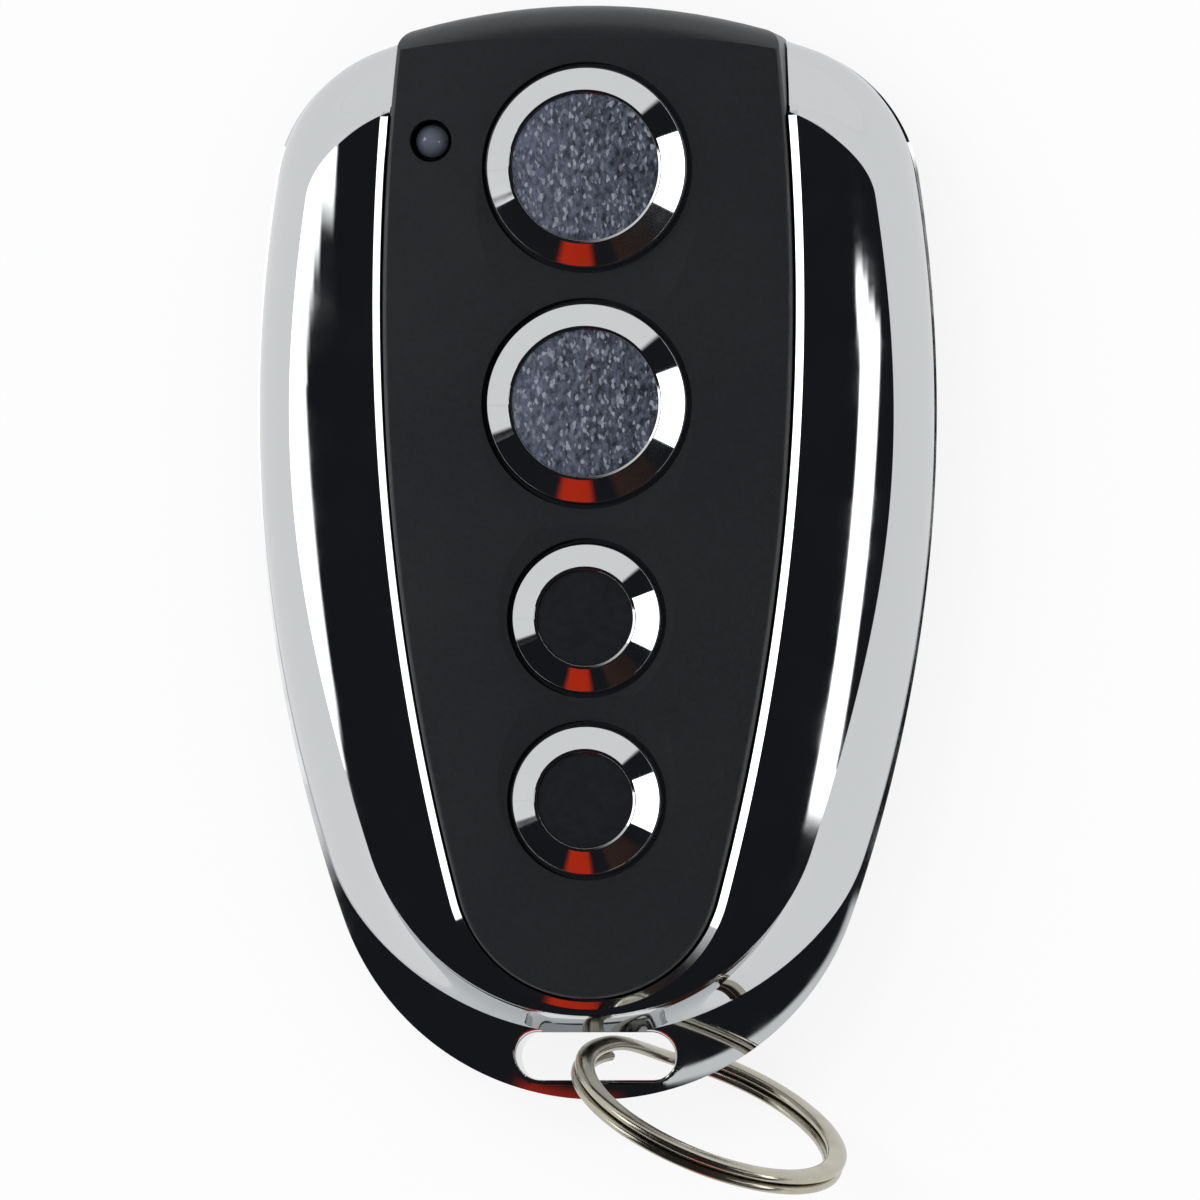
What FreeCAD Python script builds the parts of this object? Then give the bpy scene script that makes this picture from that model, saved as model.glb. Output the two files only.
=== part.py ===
import FreeCAD, Part
import math
import os

V = FreeCAD.Vector

# A four-button gate remote that lies on its back.
# X runs across it, Y runs towards the end without the ring, Z runs up through the buttons.
# The origin is the middle of the flat rear face. All lengths are in millimetres.

# Outline of the metal frame, seen from the front
FRAME_HALF_WIDTH = 20.0
FRAME_WIDEST_Y = 8.4
FRAME_TOP_Y = 31.75
FRAME_NOSE_Y = -32.0
FRAME_NOSE_RADIUS = 15.8
FRAME_CORNER_RADIUS = 9.2
TOP_ARC_RADIUS = 38.0

# Crease between the steep flank and the two crescent facets, at the sides
CREASE_HALF_WIDTH = 17.6
CREASE_WIDEST_Y = 10.5
CREASE_TOP_Y = 28.3
CREASE_NOSE_Y = -27.35
CREASE_NOSE_RADIUS = 13.8
CREASE_CORNER_RADIUS = 6.2

# Steep flank: its foot inside the outline, its waist, and where it would run to above the crease
FLANK_LEDGE = 0.1
FLANK_NOSE_Y = -29.4
FLANK_NOSE_RADIUS = 16.6
WAIST_INSET = 0.65
WAIST_NOSE_Y = -28.3
WAIST_NOSE_RADIUS = 15.6
WAIST_WIDEST_Y = 9.3
FLANK_TOP_HALF_WIDTH = 15.5
FLANK_TOP_WIDEST_Y = 12.0
FLANK_TOP_NOSE_Y = -27.1
FLANK_TOP_END_Y = 27.85
FLANK_TOP_NOSE_RADIUS = 13.4
FLANK_TOP_CORNER_RADIUS = 4.5

# Crescent facets: their slope at the bead, how much it grows per millimetre, and their reach
FACET_SLOPE = 0.2
FACET_CURL = 0.035
FACET_REACHES = (0.0, 2.8, 5.6, 8.5)

# Apron round the nose, which the steep flank stands on and the slot goes through
APRON_MIDDLE_INSET = 1.65
APRON_TOP_INSET = 4.6

# Outline of the black tongue in the middle
PANEL_HALF_WIDTH = 12.05
PANEL_WIDEST_Y = 14.5
PANEL_TOP_Y = 32.05
PANEL_NOSE_Y = -26.1
PANEL_NOSE_RADIUS = 7.8
PANEL_CORNER_RADIUS = 1.2

# Heights
REAR_FLOOR = 1.0
RIM_Z = 2.6
WIDEST_Z = 5.6
APRON_MIDDLE_Z = 6.6
WAIST_Z = 7.5
APRON_TOP_Z = 8.1
CREASE_Z = 9.8
BROW_Z = 11.6
FLANK_TOP_Z = 11.8
PANEL_Z = 12.9
PANEL_ROOF_Z = 10.9
PANEL_SIDE_Z = 6.2

# Frame walls
RIM_TUCK = 1.3
FRAME_WALL = 1.3
FACET_WALL = 1.25
CREASE_WALL = 0.875
RIM_LEDGE = 1.6
NOSE_WALL_Y = -26.9
BEAD_WIDTH = 0.5
BEAD_RISE = 0.32
BEAD_END_Y = 26.2
SEAM = 0.12
FRAME_OPEN_Y = 24.0

# Slot for the key ring, through the nose
SLOT_LENGTH = 9.4
SLOT_WIDTH = 2.8
SLOT_Y = -29.45
SLOT_BEVEL = 0.25

# Front panel
PANEL_WALL = 1.2
PANEL_SKIRT_Y = 29.2
SKIRT_LAP = 1.0
PANEL_FLANGE = 0.9
PANEL_FLANGE_THICKNESS = 0.9
CROWN_CROSS_RADIUS = 120.0
CROWN_LENGTH_RADIUS = 700.0
CROWN_Y = 3.0
END_ROUND = 2.5
END_LIFT = 0.02
END_SLOPE = 0.1
END_CLEAR = 0.02
PANEL_EDGE_ROUND = 0.3
DISH_REACH = 1.38
DISH_DEPTH = 0.4

# Buttons: from the ring-free end, two large and two small
LARGE_BUTTON_RADIUS = 5.9
SMALL_BUTTON_RADIUS = 4.4
BUTTON_YS = (22.5, 8.7, -3.85, -14.5)
BUTTON_RADII = (LARGE_BUTTON_RADIUS, LARGE_BUTTON_RADIUS, SMALL_BUTTON_RADIUS, SMALL_BUTTON_RADIUS)
BUTTON_GAP = 0.28
BUTTON_FLANGE = 0.6
BUTTON_FLANGE_THICKNESS = 0.6
BUTTON_PLAY = 0.05
BUTTON_WALL = 0.9
BUTTON_RIM_BREAK = 0.1
BUTTON_RIM_Z = 12.95
BUTTON_TOP_Z = 13.95
BEVEL_WIDTH = 1.4
LIP_WIDTH = 0.18
LIP_FLAT = 0.05
LIP_BEVEL = 0.1
INLAY_RECESS = 0.2
INLAY_THICKNESS = 0.5
INLAY_GAP = 0.03
INLAY_CROWN = 0.08
STEM_RADIUS = 1.7

# Status lamp
LAMP_X = -9.2
LAMP_Y = 24.1
LAMP_RADIUS = 0.95
LAMP_HOLE_RADIUS = 1.25
LAMP_COLLAR = 0.2
LAMP_COLLAR_HEIGHT = 0.4
LAMP_TIP_HEIGHT = 0.57
LAMP_RECESS = 0.45
LAMP_LENGTH = 3.3
LAMP_LEAD = 0.4
LAMP_LEAD_PITCH = 1.0

# Rear cover
COVER_INSET = 2.0
COVER_EDGE_ROUND = 1.5
COVER_WALL = 1.1
COVER_LIP_HEIGHT = 1.0
COVER_NOSE_Y = -27.3

# Screws: three self-tapping ones from the rear
SCREW_SPOTS = ((-9.3, 15.6), (9.3, 15.6), (0.0, -22.0))
SCREW_RADIUS = 1.0
SCREW_HEAD_RADIUS = 1.75
SCREW_HEAD_HEIGHT = 0.9
SCREW_SUNK = 0.3
SCREW_LENGTH = 8.0
SCREW_HEAD_FLAT = 1.4
SCREW_HEAD_EDGE = 0.36
SCREW_CLEARANCE = 0.12
PILOT_CLEARANCE = 0.02
DRIVE_WIDTH = 0.45
DRIVE_LENGTH = 1.9
DRIVE_DEPTH = 0.5
PILOT_SPARE = 0.75
POST_WALL = 0.9

# Coin cell and its contacts
CELL_RADIUS = 10.0
CELL_HEIGHT = 3.2
CELL_Y = -3.0
CELL_RIM = 1.2
CELL_STEP = 0.35
CELL_EDGE = 0.3
CLIP_SHEET = 0.25
CLIP_LIFT = 0.05
CLIP_WIDTH = 7.0
CLIP_GAP = 0.1
CLIP_FOOT = 2.0
PAD_RADIUS = 4.0
PAD_THICKNESS = 0.15
RIB_GAP = 0.4
RIB_THICKNESS = 0.8
RIB_TOP_Z = 3.4
RIB_SWEEP = 46.0

# Circuit board
BOARD_THICKNESS = 1.0
BOARD_GAP = 0.5
BOARD_Z = REAR_FLOOR + CLIP_LIFT + CLIP_SHEET + CELL_HEIGHT + PAD_THICKNESS
BOARD_TOP = BOARD_Z + BOARD_THICKNESS

# Tactile switches
SWITCH_SIZE = 6.0
SWITCH_BASE_HEIGHT = 2.6
SWITCH_POCKET_RADIUS = 2.3
SWITCH_POCKET_DEPTH = 1.2
SWITCH_PLATE = 0.25
SWITCH_CORNER = 0.5
PLATE_MARGIN = 0.2
PLATE_CORNER = 0.4
PLUNGER_RADIUS = 1.6
PLUNGER_COLLAR = 2.05
PLUNGER_COLLAR_HEIGHT = 0.5
PLUNGER_RISE = 0.9
PLUNGER_TOP = BOARD_TOP + SWITCH_BASE_HEIGHT + SWITCH_PLATE + PLUNGER_RISE
PLUNGER_GAP = 0.08
PLUNGER_PLAY = 0.05
DOME_THICKNESS = 0.1
DOME_RADIUS = 2.2
DOME_GAP = 0.02
LEG_WIDTH = 0.7
LEG_SHEET = 0.2
LEG_SPREAD = 2.2
LEG_FOOT = 1.0
LEG_HEIGHT = 0.9

# Small parts soldered on the board's front
ENCODER_SPOT = (11.2, -3.6)
ENCODER_SIZE = (4.0, 5.0, 1.4)
ENCODER_PITCH = 1.27
RESONATOR_SPOT = (-11.2, -1.5)
RESONATOR_SIZE = (3.8, 3.8, 1.3)
TRANSISTOR_SPOT = (-11.4, 5.0)
TRANSISTOR_SIZE = (2.9, 1.4, 1.0)
TRANSISTOR_PITCH = 0.9
TRIMMER_SPOT = (10.6, 5.6)
TRIMMER_RADIUS = 1.9
TRIMMER_HEIGHT = 1.4
TRIMMER_FOOT = 0.7
ROTOR_RADIUS = 1.6
ROTOR_SLOT = 0.42
RESISTOR_SPOTS = ((8.2, -9.4), (11.0, -9.4), (8.2, -12.2), (-8.2, -9.4), (-8.2, -12.2), (-5.6, 15.6))
CAPACITOR_SPOTS = ((-11.0, -6.2), (-11.0, -9.4), (11.0, -12.2), (5.6, 15.6), (-11.0, -12.2))
CHIP_SIZE = (2.0, 1.25)
RESISTOR_HEIGHT = 0.5
CAPACITOR_HEIGHT = 0.9
PIN_WIDTH = 0.42
PIN_SHEET = 0.18
PIN_REACH = 0.9
PIN_RISE = 0.6
ANTENNA_INSET = 0.9
ANTENNA_WIDTH = 1.1
ANTENNA_THICKNESS = 0.2
ANTENNA_END_Y = 2.0

# Split ring through the slot
RING_OUTER_RADIUS = 8.5
RING_WIRE_WIDTH = 1.2
RING_WIRE_HEIGHT = 0.62
RING_WIRE_BREAK = 0.2
RING_TURN_GAP = 0.06
RING_CROSSOVER = 40.0
RING_CENTRE_X = 6.8
RING_CENTRE_Y = -32.85
RING_LEAN = 18.4
RING_YAW = 23.9
RING_ROLL = 155.0

# How far cutting shapes reach past the faces that they cut
OVERSHOOT = 1.0

# How far a piece is sunk in what it grows from, and how far a part of a form runs past its edge
ROOT = 0.1
EDGE_LAP = 2.0

# A level under the whole part, where forms that are only trimmed above begin
BELOW_Z = -5.0

parts = {}


class Oval:
    """An egg-shaped outline of six tangent arcs, mirrored about the Y axis."""

    def __init__(self, half_width, widest_y, nose_y, top_y, nose_radius, corner_radius,
                 top_radius=TOP_ARC_RADIUS):
        self.half_width = half_width
        self.widest_y = widest_y
        self.nose_y = nose_y
        self.top_y = top_y
        self.nose_radius = nose_radius
        self.corner_radius = corner_radius
        self.top_radius = top_radius

    def inset(self, distance, nose_y=None):
        """The same outline moved inwards all round, or outwards if the distance is negative."""
        nose = self.nose_y + distance if nose_y is None else nose_y
        return Oval(self.half_width - distance, self.widest_y, nose, self.top_y - distance,
                    self.nose_radius - distance, max(self.corner_radius - distance, 0.3),
                    self.top_radius - distance)

    def wire(self, z):
        """The closed wire at a height."""
        nose = V(0, self.nose_y + self.nose_radius, 0)
        rise = self.widest_y - nose.y
        side_radius = ((self.half_width ** 2 + rise ** 2 - self.nose_radius ** 2)
                       / (2 * (self.half_width - self.nose_radius)))
        side = V(self.half_width - side_radius, self.widest_y, 0)
        top = V(0, self.top_y - self.top_radius, 0)
        corner = circles_meet(side, side_radius - self.corner_radius,
                              top, self.top_radius - self.corner_radius)
        low = side + unit(nose - side) * side_radius
        high = side + unit(corner - side) * side_radius
        end = top + unit(corner - top) * self.top_radius
        turn = corner + unit(unit(corner - side) + unit(corner - top)) * self.corner_radius
        right = [arc(low, V(self.half_width, self.widest_y, 0), high), arc(high, turn, end)]
        over = [arc(end, V(0, self.top_y, 0), mirrored(end))]
        left = [arc(mirrored(end), mirrored(turn), mirrored(high)),
                arc(mirrored(high), V(-self.half_width, self.widest_y, 0), mirrored(low))]
        under = [arc(mirrored(low), V(0, self.nose_y, 0), low)]
        wire = Part.Wire(right + over + left + under)
        wire.translate(V(0, 0, z))
        return wire

    def solid(self, z_low, z_high):
        """The outline as a straight block."""
        return Part.Face(self.wire(z_low)).extrude(V(0, 0, z_high - z_low))


def unit(vector):
    return vector * (1.0 / vector.Length)


def mirrored(point):
    return V(-point.x, point.y, point.z)


def arc(start, middle, end):
    return Part.Arc(start, middle, end).toShape()


def circles_meet(a, radius_a, b, radius_b):
    """The meeting point of two circles that lies furthest towards +X."""
    gap = b - a
    along = (radius_a ** 2 - radius_b ** 2 + gap.Length ** 2) / (2 * gap.Length)
    across = math.sqrt(radius_a ** 2 - along ** 2)
    foot = a + unit(gap) * along
    sideways = V(-gap.y, gap.x, 0) * (across / gap.Length)
    return max(foot + sideways, foot - sideways, key=lambda point: point.x)


def loft(wires):
    return Part.makeLoft(wires, True, False)


def block(x_size, y_size, z_low, z_high, x=0.0, y=0.0):
    """A box centred on x, y."""
    return Part.makeBox(x_size, y_size, z_high - z_low, V(x - x_size / 2, y - y_size / 2, z_low))


def rod(radius, z_low, z_high, x=0.0, y=0.0):
    return Part.makeCylinder(radius, z_high - z_low, V(x, y, z_low))


def tube(outer, inner, z_low, z_high, x=0.0, y=0.0):
    return rod(outer, z_low, z_high, x, y).cut(rod(inner, z_low, z_high, x, y))


def turned(profile, x=0.0, y=0.0):
    """A body of revolution from (radius, height) points, on a vertical axis at x, y."""
    points = [V(radius, 0, z) for radius, z in profile]
    face = Part.Face(Part.makePolygon(points + [points[0]]))
    solid = face.revolve(V(0, 0, 0), V(0, 0, 1), 360)
    solid.translate(V(x, y, 0))
    return solid


def group(solids):
    return Part.makeCompound(solids)


frame_outline = Oval(FRAME_HALF_WIDTH, FRAME_WIDEST_Y, FRAME_NOSE_Y, FRAME_TOP_Y,
                     FRAME_NOSE_RADIUS, FRAME_CORNER_RADIUS)
crease = Oval(CREASE_HALF_WIDTH, CREASE_WIDEST_Y, CREASE_NOSE_Y, CREASE_TOP_Y,
              CREASE_NOSE_RADIUS, CREASE_CORNER_RADIUS)
tongue = Oval(PANEL_HALF_WIDTH, PANEL_WIDEST_Y, PANEL_NOSE_Y, PANEL_TOP_Y,
              PANEL_NOSE_RADIUS, PANEL_CORNER_RADIUS)
bead_outer = tongue.inset(-SEAM - BEAD_WIDTH)
brow = Oval(bead_outer.half_width, bead_outer.widest_y, bead_outer.nose_y,
            CREASE_TOP_Y - BEAD_WIDTH, bead_outer.nose_radius, PANEL_CORNER_RADIUS + 2 * BEAD_WIDTH)
flank_foot = Oval(FRAME_HALF_WIDTH - FLANK_LEDGE, FRAME_WIDEST_Y, FLANK_NOSE_Y,
                  FRAME_TOP_Y - FLANK_LEDGE, FLANK_NOSE_RADIUS, FRAME_CORNER_RADIUS)
flank_waist = Oval(FRAME_HALF_WIDTH - WAIST_INSET, WAIST_WIDEST_Y, WAIST_NOSE_Y,
                   FRAME_TOP_Y - WAIST_INSET, WAIST_NOSE_RADIUS, FRAME_CORNER_RADIUS - WAIST_INSET)
flank_top = Oval(FLANK_TOP_HALF_WIDTH, FLANK_TOP_WIDEST_Y, FLANK_TOP_NOSE_Y, FLANK_TOP_END_Y,
                 FLANK_TOP_NOSE_RADIUS, FLANK_TOP_CORNER_RADIUS)
mouth = frame_outline.inset(RIM_TUCK + RIM_LEDGE, NOSE_WALL_Y + BOARD_GAP)
belly = frame_outline.inset(FRAME_WALL, NOSE_WALL_Y)


def facet_z(reach):
    """The height of the facets at a distance outside the bead."""
    return BROW_Z - reach * (FACET_SLOPE + FACET_CURL * reach)


def frame_flank():
    """The steep flank under the sloping facets, whose crease climbs towards the nose."""
    flank = loft([flank_foot.wire(WIDEST_Z), flank_waist.wire(WAIST_Z), crease.wire(CREASE_Z),
                  flank_top.wire(FLANK_TOP_Z)])
    eaves = brow.inset(-FACET_REACHES[-1])
    roof = loft([brow.inset(-reach).wire(facet_z(reach)) for reach in reversed(FACET_REACHES)])
    roof = roof.fuse(eaves.solid(0.0, facet_z(FACET_REACHES[-1])))
    return single(flank.common(roof))


def frame_apron():
    """The lower skirt and the flatter apron that the flank stands on, with the slot's rim rounded."""
    skirt = loft([frame_outline.inset(RIM_TUCK).wire(RIM_Z), frame_outline.wire(WIDEST_Z)])
    apron = loft([frame_outline.wire(WIDEST_Z),
                  frame_outline.inset(APRON_MIDDLE_INSET).wire(APRON_MIDDLE_Z),
                  frame_outline.inset(APRON_TOP_INSET).wire(APRON_TOP_Z)])
    apron = single(apron.fuse(skirt).cut(slot_prism()))
    rim = [edge for edge in apron.Edges if on_slot_rim(edge)]
    return apron.makeFillet(SLOT_BEVEL, rim)


def frame_cavity():
    """The hollow for the board and the panel's flange."""
    shoulder_z = CREASE_Z - CREASE_WALL
    shoulder = crease.inset(FACET_WALL)
    lower = loft([mouth.wire(RIM_Z - 0.01), belly.wire(WIDEST_Z), shoulder.wire(shoulder_z)])
    roof = Oval(brow.half_width + PANEL_FLANGE - BEAD_WIDTH, brow.widest_y, brow.nose_y,
                CREASE_TOP_Y - 2 * FACET_WALL, brow.nose_radius, brow.corner_radius)
    upper = loft([shoulder.wire(shoulder_z), roof.wire(BROW_Z - FACET_WALL)])
    return lower.fuse(upper)


def slot_outline(z=0.0, grow=0.0):
    """The slot's round-ended outline, or one that lies outside it all round."""
    radius = SLOT_WIDTH / 2 + grow
    reach = (SLOT_LENGTH - SLOT_WIDTH) / 2
    corners = [V(-reach, SLOT_Y - radius, z), V(reach, SLOT_Y - radius, z),
               V(reach, SLOT_Y + radius, z), V(-reach, SLOT_Y + radius, z)]
    return Part.Wire([Part.makeLine(corners[0], corners[1]),
                      arc(corners[1], V(reach + radius, SLOT_Y, z), corners[2]),
                      Part.makeLine(corners[2], corners[3]),
                      arc(corners[3], V(-reach - radius, SLOT_Y, z), corners[0])])


def slot_prism():
    """The space of the slot, from far below to far above the metal."""
    return Part.Face(slot_outline(BELOW_Z)).extrude(V(0, 0, PANEL_Z - BELOW_Z))


def make_frame():
    """The cast metal U with its creased facets, bead and key-ring slot."""
    opening = tongue.inset(-SEAM)
    underside_z = BROW_Z - FACET_WALL
    flank = frame_flank()
    raised = flank.translated(V(0, 0, BEAD_RISE))
    bead = bead_outer.solid(BROW_Z - FACET_WALL / 2, PANEL_Z).common(raised)
    solid = flank.cut(slot_prism()).fuse(frame_apron()).cut(frame_cavity())
    solid = solid.fuse(bead.cut(above_y(bead, BEAD_END_Y)))
    top_z = PANEL_Z + OVERSHOOT
    solid = solid.cut(opening.solid(underside_z - OVERSHOOT, top_z))
    solid = solid.cut(above_y(opening.solid(PANEL_SIDE_Z - SEAM, top_z), FRAME_OPEN_Y))
    solid = solid.cut(above_y(opening.solid(0.0, top_z), PANEL_SKIRT_Y - SKIRT_LAP))
    flare = SLOT_BEVEL + OVERSHOOT
    solid = solid.cut(loft([slot_outline(RIM_Z - OVERSHOOT, flare),
                            slot_outline(RIM_Z - OVERSHOOT + flare)]))
    return single(solid)


def on_slot_rim(edge):
    """Whether an edge is the upper rim of the slot, and not a wall's seam."""
    first, last = edge.ParameterRange
    reach = (SLOT_LENGTH - SLOT_WIDTH) / 2
    for step in range(5):
        point = edge.valueAt(first + (last - first) * step / 4)
        sideways = max(abs(point.x) - reach, 0.0)
        if abs(math.hypot(sideways, point.y - SLOT_Y) - SLOT_WIDTH / 2) > 0.01:
            return False
    return edge.BoundBox.XLength > 0.1 and edge.BoundBox.ZMin > WIDEST_Z


def above_y(solid, y, z_low=0.0):
    """The part of a solid that lies beyond y, and above z_low."""
    reach = 4 * FRAME_HALF_WIDTH
    return solid.common(Part.makeBox(2 * reach, reach, 2 * reach, V(-reach, y, z_low)))


def single(shape):
    """The one solid of a shape, with its flat faces merged."""
    shape = shape.removeSplitter()
    if len(shape.Solids) != 1:
        print("more than one solid:", len(shape.Solids))
    return shape.Solids[0]


def crown_height(x, y):
    """The height of the panel's crowned top."""
    along = CROWN_LENGTH_RADIUS - math.sqrt(CROWN_LENGTH_RADIUS ** 2 - (y - CROWN_Y) ** 2)
    across = CROWN_CROSS_RADIUS - math.sqrt(CROWN_CROSS_RADIUS ** 2 - x ** 2)
    return PANEL_Z - along - across


def crowned_block():
    """Everything below the panel's top, which bends gently both ways."""
    reach = PANEL_HALF_WIDTH + EDGE_LAP
    edge_z = crown_height(reach, CROWN_Y)
    top = arc(V(reach, CROWN_Y, edge_z), V(0, CROWN_Y, PANEL_Z), V(-reach, CROWN_Y, edge_z))
    sides = Part.makePolygon([V(-reach, CROWN_Y, edge_z), V(-reach, CROWN_Y, BELOW_Z),
                              V(reach, CROWN_Y, BELOW_Z), V(reach, CROWN_Y, edge_z)])
    face = Part.Face(Part.Wire([top] + sides.Edges))
    hub = V(0, CROWN_Y, PANEL_Z - CROWN_LENGTH_RADIUS)
    half_angle = math.degrees(math.asin((PANEL_TOP_Y - PANEL_NOSE_Y) / CROWN_LENGTH_RADIUS))
    face.rotate(hub, V(1, 0, 0), -half_angle)
    return face.revolve(hub, V(1, 0, 0), 2 * half_angle)


def rounded_end():
    """A wide disc whose upper edge is rounded, for the panel's domed far end."""
    hub_y = PANEL_TOP_Y - TOP_ARC_RADIUS
    rim = TOP_ARC_RADIUS + END_CLEAR
    start = rim - END_ROUND
    start_z = crown_height(0, hub_y + start) + END_LIFT
    peak = V(0, 0, start_z + END_SLOPE * start)
    turn = END_ROUND * math.sqrt(0.5)
    profile = Part.Wire([
        Part.makeLine(V(0, 0, BELOW_Z), peak),
        Part.makeLine(peak, V(start, 0, start_z)),
        arc(V(start, 0, start_z), V(start + turn, 0, start_z - END_ROUND + turn),
            V(rim, 0, start_z - END_ROUND)),
        Part.makeLine(V(rim, 0, start_z - END_ROUND), V(rim, 0, BELOW_Z)),
        Part.makeLine(V(rim, 0, BELOW_Z), V(0, 0, BELOW_Z))])
    disc = Part.Face(profile).revolve(V(0, 0, 0), V(0, 0, 1), 360)
    disc.translate(V(0, hub_y, 0))
    return disc


def make_panel():
    """The black tongue: crowned skin, flange under the metal, wells, bosses and end skirt."""
    underside_z = BROW_Z - FACET_WALL
    flange_top = underside_z - SEAM
    flange_z = flange_top - PANEL_FLANGE_THICKNESS
    top_z = PANEL_Z + OVERSHOOT
    skin = tongue.solid(flange_z, top_z)
    skin = skin.fuse(above_y(tongue.solid(PANEL_SIDE_Z, top_z), FRAME_OPEN_Y + SEAM))
    skin = skin.fuse(above_y(tongue.solid(RIM_Z, top_z), PANEL_SKIRT_Y - SKIRT_LAP + SEAM))
    skin = skin.common(crowned_block())
    brim = [edge for edge in skin.Edges if edge.BoundBox.ZMin > flange_top + PANEL_EDGE_ROUND]
    skin = skin.makeFillet(PANEL_EDGE_ROUND, brim).common(rounded_end())
    flange = tongue.inset(-PANEL_FLANGE, PANEL_NOSE_Y).solid(flange_z, flange_top)
    flange = flange.cut(above_y(flange, FRAME_OPEN_Y - EDGE_LAP))
    skin = skin.fuse(flange)
    hollow = tongue.inset(PANEL_WALL).solid(PANEL_SIDE_Z - OVERSHOOT, PANEL_ROOF_Z)
    hollow = hollow.cut(above_y(hollow, PANEL_SKIRT_Y))
    skin = skin.cut(hollow)
    pocket = tongue.inset(PANEL_WALL).solid(RIM_Z + COVER_LIP_HEIGHT, flange_z)
    skin = skin.cut(above_y(pocket, PANEL_SKIRT_Y - EDGE_LAP))
    skin = skin.cut(mouth.solid(0.0, RIM_Z + COVER_LIP_HEIGHT))
    for x, y in SCREW_SPOTS:
        skin = skin.fuse(rod(SCREW_RADIUS + POST_WALL, BOARD_TOP, PANEL_ROOF_Z, x, y))
    for y, radius in zip(BUTTON_YS, BUTTON_RADII):
        reach = radius * DISH_REACH
        ball = (reach ** 2 + DISH_DEPTH ** 2) / (2 * DISH_DEPTH)
        skin = skin.cut(Part.makeSphere(ball, V(0, y, crown_height(0, y) + ball - DISH_DEPTH)))
    for y, radius in zip(BUTTON_YS, BUTTON_RADII):
        skin = skin.cut(rod(radius + BUTTON_GAP, flange_z, top_z, 0, y))
    skin = skin.cut(rod(LAMP_HOLE_RADIUS, flange_z, top_z, LAMP_X, LAMP_Y))
    pilot_end = SCREW_SUNK + SCREW_HEAD_HEIGHT + SCREW_LENGTH + PILOT_SPARE
    for x, y in SCREW_SPOTS:
        skin = skin.cut(rod(SCREW_RADIUS + PILOT_CLEARANCE, 0.0, pilot_end, x, y))
    return single(skin)


def make_cover():
    """The rear cover: a shallow pan with a lip, screw posts and ribs round the cell."""
    pan = frame_outline.inset(COVER_INSET, COVER_NOSE_Y).solid(0.0, RIM_Z)
    bottom = [edge for edge in pan.Edges if edge.BoundBox.ZMax < 0.01]
    pan = pan.makeFillet(COVER_EDGE_ROUND, bottom)
    lip_outline = mouth.inset(SEAM)
    pan = pan.fuse(lip_outline.solid(RIM_Z - COVER_LIP_HEIGHT, RIM_Z + COVER_LIP_HEIGHT))
    lip_top = RIM_Z + COVER_LIP_HEIGHT
    hollow = lip_outline.inset(COVER_WALL).solid(REAR_FLOOR, lip_top + OVERSHOOT)
    pan = pan.cut(hollow)
    for x, y in SCREW_SPOTS:
        pan = pan.fuse(rod(SCREW_HEAD_RADIUS + POST_WALL, REAR_FLOOR - ROOT, BOARD_Z, x, y))
    ring = tube(CELL_RADIUS + RIB_GAP + RIB_THICKNESS, CELL_RADIUS + RIB_GAP,
                REAR_FLOOR - ROOT, RIB_TOP_Z, 0, CELL_Y)
    for corner in range(4):
        wedge = Part.makeCylinder(2 * CELL_RADIUS, 2 * RIB_TOP_Z, V(0, CELL_Y, -RIB_TOP_Z),
                                  V(0, 0, 1), RIB_SWEEP)
        wedge.rotate(V(0, CELL_Y, 0), V(0, 0, 1), 45 + 90 * corner - RIB_SWEEP / 2)
        pan = pan.fuse(ring.common(wedge))
    for x, y in SCREW_SPOTS:
        head_room = SCREW_SUNK + SCREW_HEAD_HEIGHT
        pan = pan.cut(rod(SCREW_HEAD_RADIUS + SCREW_CLEARANCE, -OVERSHOOT, head_room, x, y))
        pan = pan.cut(rod(SCREW_RADIUS + SCREW_CLEARANCE, 0.0, BOARD_Z + OVERSHOOT, x, y))
    return single(pan)


def make_screws():
    """Three self-tapping screws: sunk pan head with a cross recess, shank and point."""
    screws = []
    for x, y in SCREW_SPOTS:
        seat = SCREW_SUNK + SCREW_HEAD_HEIGHT
        tip = seat + SCREW_LENGTH
        screw = turned([(0, SCREW_SUNK), (SCREW_HEAD_FLAT, SCREW_SUNK),
                        (SCREW_HEAD_RADIUS, SCREW_SUNK + SCREW_HEAD_EDGE),
                        (SCREW_HEAD_RADIUS, seat), (SCREW_RADIUS, seat),
                        (SCREW_RADIUS, tip - SCREW_RADIUS), (0, tip)], x, y)
        for width, length in ((DRIVE_WIDTH, DRIVE_LENGTH), (DRIVE_LENGTH, DRIVE_WIDTH)):
            screw = screw.cut(block(width, length, 0.0, SCREW_SUNK + DRIVE_DEPTH, x, y))
        screws.append(screw)
    return group(screws)


def board_outline():
    """The board follows the frame's hollow, and stops short of the panel's end skirt."""
    return Oval(belly.half_width - BOARD_GAP, belly.widest_y, belly.nose_y + BOARD_GAP,
                PANEL_SKIRT_Y - BOARD_GAP / 2, belly.nose_radius - BOARD_GAP,
                belly.corner_radius - BOARD_GAP)


def make_board():
    board = board_outline().solid(BOARD_Z, BOARD_TOP)
    for x, y in SCREW_SPOTS:
        hole = rod(SCREW_RADIUS + SCREW_CLEARANCE, 0.0, BOARD_TOP + OVERSHOOT, x, y)
        board = board.cut(hole)
    return single(board)


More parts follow.
